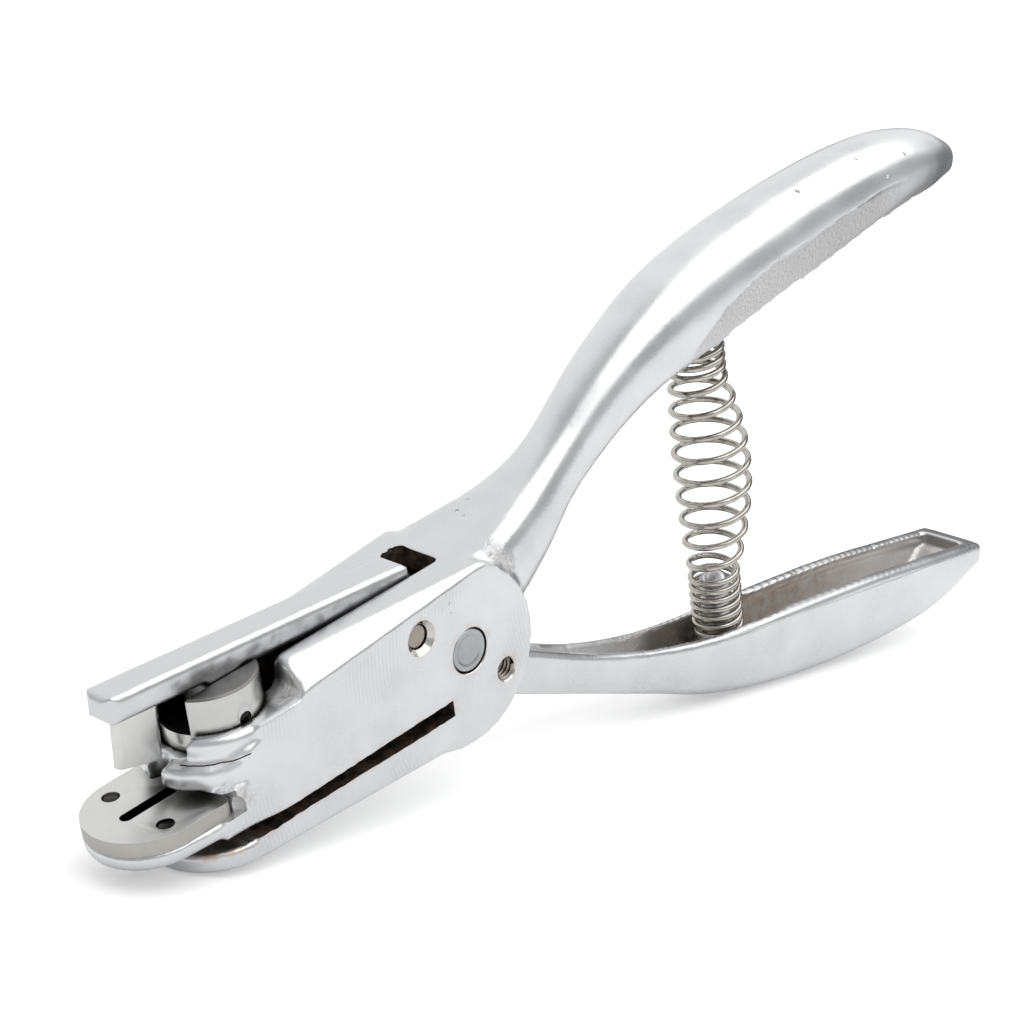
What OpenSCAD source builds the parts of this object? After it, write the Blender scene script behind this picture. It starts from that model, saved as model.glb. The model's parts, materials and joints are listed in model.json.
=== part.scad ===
// Hole punch pliers: a cast frame and a cast lever on one rivet, a slot blade
// under the lever's press bar, a pinned die plate, a guide plunger in its
// tower and a return spring between the hollow handles.
// Everything is drawn with the pivot at the origin and the die plate level:
// -X runs to the jaw, +X to the handles and +Z up. stand() then sets the tool
// down on the nose of its lower lip and the belly of its lower handle.

/* [Body] */
// Width across the two cheeks
body_w = 15.6; // [14.8:0.1:16.6]
// Radius of the round rear end of the cheeks
cheek_r = 11.2; // [10.8:0.1:11.5]
// Distance of the round end's centre ahead of the pivot
cheek_ahead = 0.9; // [0.6:0.1:1.2]
// Depth of the round end's centre below the pivot
cheek_below = 0.6; // [0.3:0.1:0.8]
// Height of the cheek tops above the pivot
cheek_top = 9.8; // [9.4:0.1:10.4]
// Distance from the pivot forward to the step that ends the cheeks
cheek_front = 24.3; // [23.5:0.1:24.8]
// Width of the slot between the cheeks
slot_w = 5.2; // [5.1:0.1:5.6]
// Distance that the slot runs on behind the pivot, as the window in the top
window_rear = 1.5; // [1:0.1:2]
// Distance behind the pivot at which the cheek bevel runs out
bevel_rear = 8; // [7:0.1:9]
// Drop of the cheek bevel at the front step
bevel_drop = 2.6; // [1.5:0.1:3]
// Width of the cheek bevel at the front step
bevel_w = 3.6; // [2.5:0.1:4]
// Depth of the underside below the pivot
belly_depth = 11.6; // [11.3:0.1:11.8]
// Depth of the waste slit's roof below the pivot
slit_depth = 4.9; // [4.7:0.1:5.2]
// Height of the waste slit
slit_h = 1.5; // [1.2:0.1:1.8]
// Distance of the slit's closed end ahead of the pivot
slit_end = 3.6; // [3:0.1:5]
// Depth of the lower lip's underside at its nose
lip_depth = 9.3; // [8.8:0.1:9.6]
// Distance of the lower lip's nose centre ahead of the pivot
lip_ahead = 34; // [33:0.1:35]
// Rounding of the cast edges round the jaw
cast_round = 1; // [0.6:0.1:1.1]
// Rounding of the lower lip's edges
lip_round = 1.2; // [0.8:0.1:1.4]
// Rounding at the top and the foot of the step that ends the cheeks
step_round = 1.3; // [0.8:0.1:1.5]

/* [Guide tower] */
// Distance of the plunger's axis ahead of the pivot
plunger_ahead = 31.2; // [31:0.1:31.4]
// Radius of the guide plunger
plunger_r = 5.75; // [5.5:0.05:5.8]
// Height of the plunger's top above the pivot
plunger_top = 10.5; // [10:0.1:11]
// Height of the plunger slot's floor above the pivot
plunger_floor = 6.2; // [5.8:0.1:6.4]
// Height of the tower rim above the pivot
rim_top = 6.4; // [6.2:0.1:6.8]
// Height of the ledge in front of the plunger
ledge_top = 4.1; // [3.8:0.1:4.2]
// Distance of the ledge's nose centre ahead of the pivot
ledge_ahead = 32.4; // [32:0.1:32.8]
// Width of the open front of the tower
tower_open_w = 6; // [5.6:0.1:6.4]
// Depth of the plunger bore's floor below the pivot
bore_depth = 3.6; // [3.5:0.1:3.8]

/* [Die] */
// Distance of the die's nose centre ahead of the pivot
die_ahead = 42; // [41.5:0.1:42.5]
// Radius of the cast nose under the die plate
base_r = 7.1; // [7.05:0.05:7.5]
// Depth of the cast nose's underside below the pivot
base_depth = 4.6; // [4.4:0.1:4.7]
// Width of the die plate
die_w = 14.1; // [13.2:0.1:14.4]
// Thickness of the die plate
die_t = 1.8; // [1.4:0.1:2]
// Depth of the die plate's top below the pivot
die_top = 0.45; // [0.3:0.05:0.6]
// Height of the card gap over the die plate
card_gap = 1.25; // [1:0.05:1.5]
// Distance of the card gap's back wall ahead of the pivot
throat_back = 37.5; // [37.4:0.1:37.8]
// Radius of the die pins
die_pin_r = 0.9; // [0.7:0.05:1]
// Distance between the die pins
die_pin_span = 9.1; // [8:0.1:10]
// Distance of the die pins ahead of the pivot
die_pin_ahead = 43; // [41:0.1:44]

/* [Lever] */
// Width of the press bar and of the lever's hub
bar_w = 4.8; // [4.4:0.1:4.8]
// Height of the press bar
bar_h = 3.3; // [3:0.1:3.4]
// Height of the press bar's top over the pivot, square to the bar
bar_top = 10.6; // [10.5:0.1:11]
// Length of the press bar ahead of the pivot
bar_reach = 46.7; // [46.4:0.1:48]
// Distance of the press bar's rear end ahead of the pivot
bar_rear = 3.6; // [3.3:0.1:4]
// Tilt of the press bar, front up, with the handles open
bar_tilt = 5.5; // [5.3:0.1:5.7]
// Turn of the lever from open to closed
close_turn = 9.5; // [9:0.1:9.6]
// Rounding along the press bar
bar_round = 0.9; // [0.4:0.1:1.2]
// Radius of the lever's hub
hub_r = 6.3; // [5.8:0.1:6.4]
// Thickness of the handles' side walls
wall = 1.3; // [1.1:0.1:1.4]
// Thickness of the handles' backs
back_t = 2.2; // [1.8:0.1:2.6]

/* [Blade] */
// Thickness of the slot blade
blade_t = 1.4; // [1.2:0.05:1.5]
// Length of the slot that it punches
blade_l = 6; // [5.4:0.1:6.2]
// Distance of the blade's front edge along the bar
blade_front = 45; // [44.8:0.1:45.2]
// Height of the blade's lower front corner over the pivot, square to the bar
blade_low = 1.3; // [1.1:0.1:1.6]
// Shear angle of the blade's lower edge
blade_shear = 10; // [6:0.5:12]
// Depth of the blade's seat in the bar
blade_seat = 1.8; // [1.2:0.1:2.2]

/* [Pins] */
// Radius of the pivot rivet
rivet_r = 2.6; // [2.4:0.05:2.8]
// Radius of the stop pin
stop_r = 1.4; // [1.2:0.05:1.45]
// Distance of the stop pin ahead of the pivot
stop_ahead = 7; // [6.9:0.1:7.3]
// Radius of the tapped hole's thread core
tap_r = 1.65; // [1.4:0.05:1.9]
// Distance of the tapped hole behind the pivot
tap_behind = 5.3; // [5:0.1:5.6]
// Depth of the tapped hole below the pivot
tap_below = 5.1; // [4.8:0.1:5.4]
// Radius of the plunger's cross pin
cross_r = 0.8; // [0.7:0.05:0.85]
// Height of the cross pin above the pivot
cross_up = 6.7; // [6.6:0.05:6.8]
// Radial clearance of round fits
fit = 0.05; // [0.03:0.01:0.08]

/* [Spring] */
// Distance of the spring's axis behind the pivot
spring_behind = 51.4; // [50.5:0.1:52.5]
// Wire diameter of the return spring
wire_d = 0.85; // [0.75:0.05:0.9]
// Mean radius of the spring at its lower end
spring_r_low = 3.05; // [2.95:0.05:3.1]
// Mean radius of the spring at its bulge
spring_r_mid = 4.7; // [4:0.05:4.8]
// Mean radius of the spring at its upper end
spring_r_high = 3.4; // [3.2:0.05:3.6]
// Number of close coils at the lower end
coils_low = 10; // [6:1:11]
// Number of open coils
coils_mid = 9; // [7:1:10]
// Number of close coils at the upper end
coils_high = 10; // [6:1:11]
// Gap between the close coils
coil_gap = 0.45; // [0.42:0.01:0.5]
// Sideways bow of the spring at its middle
spring_bow = 1.4; // [0:0.1:1.6]

/* [Hidden] */
$fn = 64;

// Long enough to cut right through the tool
reach = 200;
// Room left between pieces that pass each other, and round pieces that are pressed in
room = 0.35;
seat_fit = 0.02;
half_w = body_w / 2;
gap_roof = card_gap - die_top;
die_seat = die_top + die_t;
die_slot_w = blade_t + 2 * fit;
slit_floor = slit_depth + slit_h;
bar_low = bar_top - bar_h;
close_tilt = bar_tilt - close_turn;
plunger_travel = plunger_ahead * close_turn * PI / 180;
// The closed bar comes down to the stop pin, and the lever's web stays behind it
stop_up = (bar_low - room - stop_r + stop_ahead * sin(close_tilt)) / cos(close_tilt);
web_front = stop_ahead * cos(close_tilt) + stop_up * sin(close_tilt) - stop_r - room;
plunger_foot = plunger_travel + room - bore_depth;
pocket_r = hub_r + 2 * room;
// Upper edge of the lever's tang: where it leaves the hub and where it ends
tang_knee = [6, 1.5];
tang_end = [14, -8.6];
// Lower edge of the tang, which drops below the hub, and the end that the lower handle wraps
tang_drop = 5.95;
tang_heel = [-1, 0.1 - hub_r];
tang_low = [8.5, -hub_r - tang_drop];
tang_tip = [15, -14];
// Chamfered mouths of the cheek holes, and how far pin ends lie below their faces
rivet_chamfer = 0.15;
stop_chamfer = 0.6;
tap_chamfer = 0.35;
pin_recess = 0.15;
stop_recess = 0.8;
// Rounding under the cast nose of the die
base_round = 1.6;
// The cast nose widens to the body over this run
base_run = 6;
base_taper = atan2(half_w - base_r - 0.05, base_run);
lip_slope = atan2(belly_depth - lip_depth, lip_ahead);
// The lower lip is a hair narrower than the cheeks that stand on it
lip_half = half_w - seat_fit;

// Upper handle, along its centre line: [x, z, half width, half height, squareness of its top]
upper_line = [[2, 3, half_w - 0.2, 6.6, 5], [9, 4.9, half_w - 0.8, 5.9, 4.5], [16, 7.3, 5.4, 5, 3.2],
              [24, 11.6, 4.1, 3.9, 2.4], [36, 18.4, 5, 4.8, 2.2], [50, 22.4, 6.1, 6.4, 2.2],
              [70, 24.9, 6.1, 6.3, 2.2], [87, 25.8, 5.7, 5.4, 2.2], [97, 25, 5, 4.2, 2.2],
              [102.6, 23.6, 3.5, 2.6, 2.1]];
// Lower handle, along its rim: [x, z, half width, depth]
lower_line = [[9, -6, 3.1, 6.8], [15, -9.3, 3.1, 6.6], [25, -14.7, 3.2, 6.3], [36, -19.2, 3.9, 7.4],
              [47, -22.3, 4.8, 9.8], [62, -25.1, 5.2, 12], [79, -28.5, 5.4, 12.2], [94, -32.3, 5.3, 9.6],
              [103.9, -34.9, 5.1, 4.4]];
// Stations between two points of a handle line, and points round a section
line_steps = 4;
ring_steps = 24;
// Length of the upper handle's round tip
tip_l = 2.4;
// Where the two channels start and end along their handles
upper_channel = [33, 100];
lower_channel = [19, 101.8];
// Length over which a channel opens from its closed end
channel_round = 6;
// Share of the lower channel's depth that is left at the flat wall of its far end
far_wall = 0.6;
// Squareness of the handle sections: 2 is an ellipse, more is boxier
crown = 2.2;
skirt = 3;
belly = 2.6;
rim = 9;
// Share of the lower handle's depth that stands above its widest line
rim_share = 0.35;

// Point of the XZ plane turned about the pivot, handles closing
function turned(p, a) = [p[0] * cos(a) - p[1] * sin(a), p[0] * sin(a) + p[1] * cos(a)];
// Points of an arc in the XZ plane
function arc(x, z, r, from, to) =
    [for (k = [0:6]) let (a = from + (to - from) * k / 6) [x + r * cos(a), z + r * sin(a)]];
// Smooth curve through the points of a list
function point(p, i) = i < 0 ? 2 * p[0] - p[1] : i >= len(p) ? 2 * p[len(p) - 1] - p[len(p) - 2] : p[i];
function between(a, b, c, d, t) =
    (2 * b + (c - a) * t + (2 * a - 5 * b + 4 * c - d) * t * t + (3 * b - a - 3 * c + d) * t * t * t) / 2;
function smooth(p, steps) =
    [for (i = [0:len(p) - 2], k = [0:steps - 1])
        between(point(p, i - 1), p[i], p[i + 1], point(p, i + 2), k / steps), p[len(p) - 1]];
function slope(q, i) =
    let (a = q[max(i - 1, 0)], b = q[min(i + 1, len(q) - 1)]) atan2(b[1] - a[1], b[0] - a[0]);

// Rounded box section: power 2 is an ellipse, a higher one is squarer
function bend(v, power) = sign(v) * pow(abs(v), 2 / power);
function section(w, up, down, crown, skirt) =
    [for (k = [0:ring_steps - 1])
        let (a = 360 * k / ring_steps, e = sin(a) >= 0 ? crown : skirt, h = sin(a) >= 0 ? up : down)
        [w * bend(cos(a), e), h * bend(sin(a), e)]];
function raised(s, rise) = [for (v = s) [v[0], v[1] + rise]];
// Section set up at a point of the XZ plane, square to a line of that slope
function place(s, x, z, turn) = [for (v = s) [x - v[1] * sin(turn), v[0], z + v[1] * cos(turn)]];

upper_curve = smooth(upper_line, line_steps);
lower_curve = smooth(lower_line, line_steps);
last = len(upper_curve) - 1;

function upper_ring(i) =
    let (q = upper_curve[i])
    place(section(q[2], q[3], q[3], q[4], skirt), q[0], q[1], slope(upper_curve, i));
// Rings of the round tip, which close in as they run on along the handle
function tip_ring(a) =
    let (q = upper_curve[last], turn = slope(upper_curve, last), k = cos(a), run = tip_l * sin(a))
    place(section(q[2] * k, q[3] * k, q[3] * k, q[4], skirt),
          q[0] + run * cos(turn), q[1] + run * sin(turn), turn);
function lower_ring(i) =
    let (q = lower_curve[i])
    place(section(q[2], q[3] * rim_share, q[3] * (1 - rim_share), rim, belly),
          q[0], q[1] - q[3] * rim_share, 0);
// Values of a handle line at any x, and how far a channel has opened there
function at(curve, x, k) = lookup(x, [for (q = curve) [q[0], q[k]]]);
function opened(x, ends) =
    let (s = min(1, (x - ends[0]) / channel_round, (ends[1] - x) / channel_round)) sqrt(s * (2 - s));
function stations(ends) =
    let (first = [0.03, 0.15, 0.35, 0.65], n = 14)
    concat([for (f = first) ends[0] + f * channel_round],
           [for (k = [0:n]) ends[0] + channel_round + (ends[1] - ends[0] - 2 * channel_round) * k / n],
           [for (k = [3:-1:0]) ends[1] - first[k] * channel_round]);
function upper_inner_ring(x) =
    let (w = at(upper_curve, x, 2), h = at(upper_curve, x, 3), open = opened(x, upper_channel),
         turn = atan((at(upper_curve, x + 1, 1) - at(upper_curve, x - 1, 1)) / 2))
    place(raised(section((w - wall) * open, (h - back_t) * open, h * open + 2 * wall, crown, rim),
                 h * (open - 1)),
          x, at(upper_curve, x, 1), turn);
function lower_inner_ring(x) =
    let (w = at(lower_curve, x, 2), d = at(lower_curve, x, 3), far = x > spring_behind,
         wide = far ? 1 : opened(x, lower_channel), open = max(opened(x, lower_channel), far ? far_wall : 0))
    place(raised(section((w - wall) * wide, d, (d * (1 - rim_share) - back_t) * open, rim, belly + 1),
                 d * rim_share * (1 - open)),
          x, at(lower_curve, x, 1) - d * rim_share, 0);

// Spring seats, which stand a little off the backs of the two channels, and their pegs
seat_rise_low = 2;
seat_rise_high = 1.2;
seat_low = at(lower_curve, spring_behind, 1) - at(lower_curve, spring_behind, 3) + back_t + seat_rise_low;
seat_high = at(upper_curve, spring_behind, 1) + at(upper_curve, spring_behind, 3) - back_t - seat_rise_high;
seat_gap = 0.2;
// How far the seats are sunk into the backs
seat_sink = 0.3;
peg_low_l = 13.5;
peg_high_l = 5;
peg_r = spring_r_low - wire_d / 2 - 1.5 * room;

// Standing tilt: the steepest line from the round of the lower lip's nose to the belly
nose_run = lip_half - lip_round;
nose = [lip_round * sin(lip_slope) - nose_run * cos(lip_slope) - lip_ahead,
        lip_round * cos(lip_slope) + nose_run * sin(lip_slope) - lip_depth];
stand_tilt = max([for (q = lower_curve)
    let (dx = q[0] - nose[0], dz = q[1] - q[3] - nose[1]) atan2(-dz, dx) - asin(lip_round / norm([dx, dz]))]);
ground = nose[0] * sin(stand_tilt) + nose[1] * cos(stand_tilt) - lip_round;
front_turn = bar_tilt - stand_tilt;
front_x = -(bar_reach - bar_round) * cos(front_turn) + (bar_top - bar_round) * sin(front_turn) - bar_round;
rear_x = max([for (p = lower_ring(len(lower_curve) - 1)) p[0] * cos(stand_tilt) - p[2] * sin(stand_tilt)]);
middle_x = (front_x + rear_x) / 2;

module stand() translate([-middle_x, 0, -ground]) rotate([0, -stand_tilt, 0]) children();

// Skin over a row of rings, closed by a flat face at each end
module loft(rings) {
    n = len(rings);
    m = len(rings[0]);
    sides = [for (i = [0:n - 2], j = [0:m - 1])
        let (a = i * m + j, b = i * m + (j + 1) % m) each [[a, a + m, b + m], [a, b + m, b]]];
    start = [for (j = [0:m - 1]) j];
    end = [for (j = [0:m - 1]) n * m - 1 - j];
    polyhedron([for (r = rings) each r], concat(sides, [start, end]));
}

// Outline in the XZ plane, drawn out to both sides of the mid-plane
module across(w) rotate([90, 0, 0]) linear_extrude(w, center = true) children();
// Round bar across the tool at a point of the XZ plane
module cross_bar(x, z, r, l) translate([x, 0, z]) rotate([90, 0, 0]) cylinder(r = r, h = l, center = true);
// Everything that is drawn in line with the press bar
module in_bar() rotate([0, bar_tilt, 0]) children();

module rounded_box(x0, x1, y0, y1, r) {
    translate([x0 + r, y0]) square([x1 - x0 - 2 * r, y1 - y0]);
    translate([x0, y0 + r]) square([x1 - x0, y1 - y0 - 2 * r]);
    for (x = [x0 + r, x1 - r], y = [y0 + r, y1 - r]) translate([x, y]) circle(r);
}
// Slot outline with round ends
module stadium(x0, x1, r) {
    translate([x0 + r, -r]) square([x1 - x0 - 2 * r, 2 * r]);
    for (x = [x0 + r, x1 - r]) translate([x, 0]) circle(r);
}
// Slab with a round nose and rounded edges, which runs back from the jaw
module nose_slab(r, ahead, rear, z0, z1, edge) {
    translate([-ahead, 0, 0]) rotate_extrude()
        intersection() {
            rounded_box(-r, r, z0, z1, edge);
            translate([0, z0]) square([r, z1 - z0]);
        }
    translate([-ahead, 0, 0]) rotate([90, 0, 90])
        linear_extrude(ahead - rear) rounded_box(-r, r, z0, z1, edge);
}

// Side view of the solid body behind the jaw
module body_side() {
    intersection() {
        translate([-cheek_ahead, -cheek_below]) circle(cheek_r);
        translate([-reach, -reach]) square([2 * reach, reach + cheek_top]);
    }
    polygon(concat(
        [[0, cheek_top]],
        arc(step_round - cheek_front, cheek_top - step_round, step_round, 90, 180),
        arc(-cheek_front - step_round, rim_top + step_round, step_round, 0, -90),
        [[-plunger_ahead, rim_top], [-plunger_ahead, gap_roof], [-throat_back, gap_roof],
         [-throat_back, -slit_depth], [-lip_ahead, -slit_depth], [-lip_ahead, 1.5 * lip_round - lip_depth],
         [0, 1.5 * lip_round - belly_depth]]));
}

// Plane that bevels one cheek's top edge, deeper towards the front
module cheek_bevel() {
    pitch = atan2(bevel_drop, cheek_front + bevel_rear);
    translate([bevel_rear, -half_w, cheek_top])
        rotate([0, -pitch, 0])
        rotate([atan2(bevel_drop, bevel_w), 0, 0])
        translate([-reach / 2, -reach / 4, 0]) cube([reach, reach / 2, reach / 8]);
}

module cheeks() {
    difference() {
        across(body_w) body_side();
        cheek_bevel();
        mirror([0, 1, 0]) cheek_bevel();
    }
}

module guide_tower() {
    ring_inset = 0.4;
    nose_slab(half_w, ledge_ahead, cheek_front, gap_roof, (gap_roof + rim_top) / 2, cast_round);
    nose_slab(half_w - ring_inset, plunger_ahead, cheek_front,
              ledge_top - 2 * cast_round, rim_top, cast_round);
}

// Cast nose under the die plate, with a full round along its lower edge
module die_base() {
    difference() {
        for (side = [-1, 1]) translate([-die_ahead, 0, 0]) rotate([0, 0, side * base_taper])
            nose_slab(base_r, 0, -base_run, -base_depth, base_r - base_depth, base_round);
        translate([-reach - throat_back, -reach / 2, -die_seat]) cube([reach, reach, reach]);
        translate([-reach / 2, -reach / 2, -die_top]) cube([reach, reach, reach]);
    }
}

// Lower lip, whose underside runs down to the belly of the body
module lower_lip() {
    translate([-lip_ahead, 0, -lip_depth]) rotate([0, lip_slope, 0]) translate([lip_ahead, 0, 0])
        nose_slab(lip_half, lip_ahead, 0, 0, lip_depth - slit_floor + slit_h / 2, lip_round);
}

// Space that the lever's bar, web, hub and tang sweep between the cheeks
module lever_way() {
    floor_rise = tan(close_tilt);
    floor_at = bar_low / cos(close_tilt) - room;
    across(slot_w) {
        polygon([[window_rear, floor_at], [window_rear, reach], [-plunger_ahead, reach],
                 [-plunger_ahead, floor_at + floor_rise * plunger_ahead]]);
        translate([-pocket_r + room, 0]) square([pocket_r - room + window_rear, floor_at + room]);
        circle(pocket_r);
        polygon([[0, 0], [0, -reach], [reach, -reach], turned(tang_end, close_turn) + [reach, room],
                 turned(tang_end, close_turn) + [room, room], turned(tang_knee, close_turn) + [room, room]]);
    }
}

module plunger_bore() {
    translate([-plunger_ahead, 0, -bore_depth]) cylinder(r = plunger_r + fit, h = reach);
    translate([-reach, -tower_open_w / 2, ledge_top]) cube([reach - plunger_ahead, tower_open_w, reach]);
}

module blade_slit() {
    slit_w = blade_t + 2 * room;
    translate([-reach, -slit_w / 2, gap_roof - room])
        cube([reach - blade_front + blade_l + 2 * room, slit_w, reach]);
}

// Waste way from the die slot down to the slit, and the holes of the die pins
module die_ways() {
    translate([0, 0, -slit_floor]) linear_extrude(slit_floor)
        stadium(-blade_front - 4 * room, -throat_back - room, die_slot_w / 2 + room);
    for (side = [-1, 1])
        translate([-die_pin_ahead, side * die_pin_span / 2, -slit_floor])
            cylinder(r = die_pin_r + seat_fit, h = reach);
}

// Hole from one cheek's face, with a chamfered mouth
module cheek_hole(side, x, z, r, chamfer) {
    translate([x, side * half_w, z]) rotate([side * 90, 0, 0]) {
        translate([0, 0, -1]) cylinder(r = r, h = half_w);
        cylinder(r1 = r + chamfer, r2 = r, h = 2 * chamfer, center = true);
    }
}

module cheek_holes() {
    for (side = [-1, 1]) {
        cheek_hole(side, 0, 0, rivet_r + fit, rivet_chamfer);
        cheek_hole(side, -stop_ahead, stop_up, stop_r + fit, stop_chamfer);
    }
    cheek_hole(-1, tap_behind, -tap_below, tap_r, tap_chamfer);
    cross_bar(0, 0, rivet_r + fit, slot_w);
    cross_bar(-stop_ahead, stop_up, stop_r + fit, slot_w);
}

module upper_handle() {
    rings = [for (i = [0:last]) upper_ring(i)];
    tip = [for (a = [25, 50, 75]) tip_ring(a)];
    loft(concat(rings, tip));
}

module upper_hollow() {
    loft([for (x = stations(upper_channel)) upper_inner_ring(x)]);
}

// Peg with a domed end and a flat seat round its foot, along Z
module spring_peg(l, foot, foot_r) {
    rotate_extrude() {
        square([peg_r, l - peg_r / 2]);
        intersection() {
            translate([0, l - peg_r]) circle(peg_r);
            square([peg_r, l]);
        }
        translate([0, -foot]) square([foot_r, foot]);
    }
}

module frame_casting() {
    color([0.80, 0.81, 0.82]) stand() {
        difference() {
            union() {
                cheeks();
                guide_tower();
                die_base();
                lower_lip();
                upper_handle();
            }
            translate([-reach - slit_end, -reach / 2, -slit_floor]) cube([reach, reach, slit_h]);
            lever_way();
            plunger_bore();
            blade_slit();
            die_ways();
            cheek_holes();
            upper_hollow();
        }
        translate([spring_behind, 0, seat_high]) mirror([0, 0, 1])
            spring_peg(peg_high_l, seat_rise_high + 2 * seat_sink, spring_r_high + wire_d / 2);
    }
}

module press_bar() {
    intersection() {
        across(bar_w) rounded_box(-bar_reach, -bar_rear, bar_low, bar_top, bar_round);
        translate([-reach, 0, 0]) rotate([90, 0, 90])
            linear_extrude(reach) rounded_box(-bar_w / 2, bar_w / 2, bar_low, bar_top, bar_round);
        linear_extrude(reach) rounded_box(-bar_reach, 0, -bar_w / 2, bar_w / 2, bar_round);
    }
}

// Link tongue that hangs into the plunger's slot round the cross pin
cross_x = -plunger_ahead * cos(bar_tilt) - cross_up * sin(bar_tilt);
cross_z = cross_up * cos(bar_tilt) - plunger_ahead * sin(bar_tilt);
cross_shift = 0.34;
tongue_half = 2.2;
tongue_low = cross_z - cross_r - 2.4 * room;
module link_tongue() {
    half_hole = cross_shift + cross_r + room / 2;
    across(bar_w) difference() {
        translate([cross_x - tongue_half + cross_shift, tongue_low])
            square([2 * tongue_half, bar_low + bar_round - tongue_low]);
        translate([cross_x + cross_shift, cross_z])
            stadium(-half_hole, half_hole, cross_r + room / 2.5);
    }
}

// Web that joins the press bar to the hub behind the stop pin
module bar_web() {
    web_slope = 1.2;
    across(bar_w)
        polygon([[-web_front, bar_low + bar_round], [-web_front, hub_r / 2], [0, 0],
                 [hub_r / 6, hub_r - seat_fit], [web_slope - bar_rear, bar_low],
                 [-bar_rear, bar_top - bar_round]]);
}

// Tang that carries the lower handle through the gap behind the cheeks
module tang() {
    across(bar_w)
        polygon([[0, 0], hub_r * [cos(50), sin(50)], tang_knee, tang_end, tang_tip, tang_low, tang_heel]);
}

module lower_handle() {
    difference() {
        loft([for (i = [0:len(lower_curve) - 1]) lower_ring(i)]);
        cross_bar(0, 0, cheek_r + room, reach);
        loft([for (x = stations(lower_channel)) lower_inner_ring(x)]);
    }
    translate([spring_behind, 0, seat_low])
        spring_peg(peg_low_l, seat_rise_low + seat_sink, spring_r_low + wire_d / 2);
}

module lever_casting() {
    color([0.78, 0.79, 0.80]) stand() difference() {
        union() {
            in_bar() {
                press_bar();
                link_tongue();
                bar_web();
            }
            cross_bar(0, 0, hub_r, bar_w);
            tang();
            lower_handle();
        }
        cross_bar(0, 0, rivet_r + fit, reach);
        in_bar() translate([0, 0, bar_low]) mirror([0, 0, 1]) translate([0, 0, -blade_seat])
            linear_extrude(2 * blade_seat)
                stadium(-blade_front - seat_fit, blade_l - blade_front + seat_fit, blade_t / 2 + seat_fit);
    }
}

module slot_blade() {
    color([0.70, 0.71, 0.71]) stand() in_bar() difference() {
        linear_extrude(bar_low + blade_seat) stadium(-blade_front, blade_l - blade_front, blade_t / 2);
        translate([-blade_front, 0, blade_low]) rotate([0, blade_shear, 0])
            translate([-reach / 2, -reach / 2, -reach]) cube([reach, reach, reach]);
    }
}

// Pin across the tool, with a ring left proud round each dished end
module dished_pin(r, l, dish) {
    rim_w = r * 0.2;
    rotate([90, 0, 0]) rotate_extrude()
        polygon([[0, -l / 2 + dish], [r - 2 * rim_w, -l / 2 + dish], [r - rim_w, -l / 2], [r - 0.1, -l / 2],
                 [r, -l / 2 + 0.1], [r, l / 2 - 0.1], [r - 0.1, l / 2], [r - rim_w, l / 2],
                 [r - 2 * rim_w, l / 2 - dish], [0, l / 2 - dish]]);
}

module pivot_rivet() {
    color([0.62, 0.64, 0.65]) stand() dished_pin(rivet_r, body_w - 2 * pin_recess, 0.25);
}

module stop_pin() {
    color([0.66, 0.66, 0.65]) stand() translate([-stop_ahead, 0, stop_up])
        dished_pin(stop_r, body_w - 2 * stop_recess, 0.1);
}

module die_plate() {
    color([0.73, 0.72, 0.70]) stand() translate([0, 0, -die_seat]) linear_extrude(die_t) difference() {
        intersection() {
            stadium(-die_ahead - die_w / 2, die_w, die_w / 2);
            translate([-reach - throat_back - seat_fit, -reach / 2]) square(reach);
        }
        stadium(-blade_front - room, -throat_back, die_slot_w / 2);
        for (side = [-1, 1])
            translate([-die_pin_ahead, side * die_pin_span / 2]) circle(die_pin_r + 2.5 * fit);
    }
}

module die_pin(side) {
    foot = base_depth - pin_recess;
    color([0.36, 0.36, 0.37]) stand()
        translate([-die_pin_ahead, side * die_pin_span / 2, -foot])
            cylinder(r = die_pin_r, h = foot - die_top - pin_recess);
}
module die_pin_near() die_pin(-1);
module die_pin_far() die_pin(1);

module guide_plunger() {
    bevel = 0.25;
    pocket = 3.2;
    color([0.66, 0.67, 0.67]) stand() difference() {
        translate([-plunger_ahead, 0, 0]) rotate_extrude()
            polygon([[0, plunger_foot], [plunger_r - bevel, plunger_foot], [plunger_r, plunger_foot + bevel],
                     [plunger_r, plunger_top - bevel], [plunger_r - bevel, plunger_top], [0, plunger_top]]);
        translate([-reach, -slot_w / 2, plunger_floor]) cube([2 * reach, slot_w, reach]);
        translate([-plunger_ahead - pocket, -slot_w / 2, cross_up - cross_r - 4 * room])
            cube([2 * pocket, slot_w, reach]);
        cross_bar(-plunger_ahead, cross_up, cross_r + seat_fit, reach);
    }
}

module plunger_cross_pin() {
    color([0.45, 0.45, 0.46]) stand()
        cross_bar(-plunger_ahead, cross_up, cross_r, 2 * plunger_r - 3 * pin_recess);
}

// Return spring: close coils at both ends, open and bulged between
coil_sides = 6;
coil_rings = 8;
coils = coils_low + coils_mid + coils_high;
spring_low = seat_low + seat_gap + wire_d / 2;
spring_high = seat_high - seat_gap - wire_d / 2;
close_pitch = wire_d + coil_gap;
open_pitch = (spring_high - spring_low - (coils_low + coils_high) * close_pitch) / coils_mid;
function coil_z(t) =
    spring_low + min(t, coils_low) * close_pitch + min(max(t - coils_low, 0), coils_mid) * open_pitch
    + max(t - coils_low - coils_mid, 0) * close_pitch;
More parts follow.
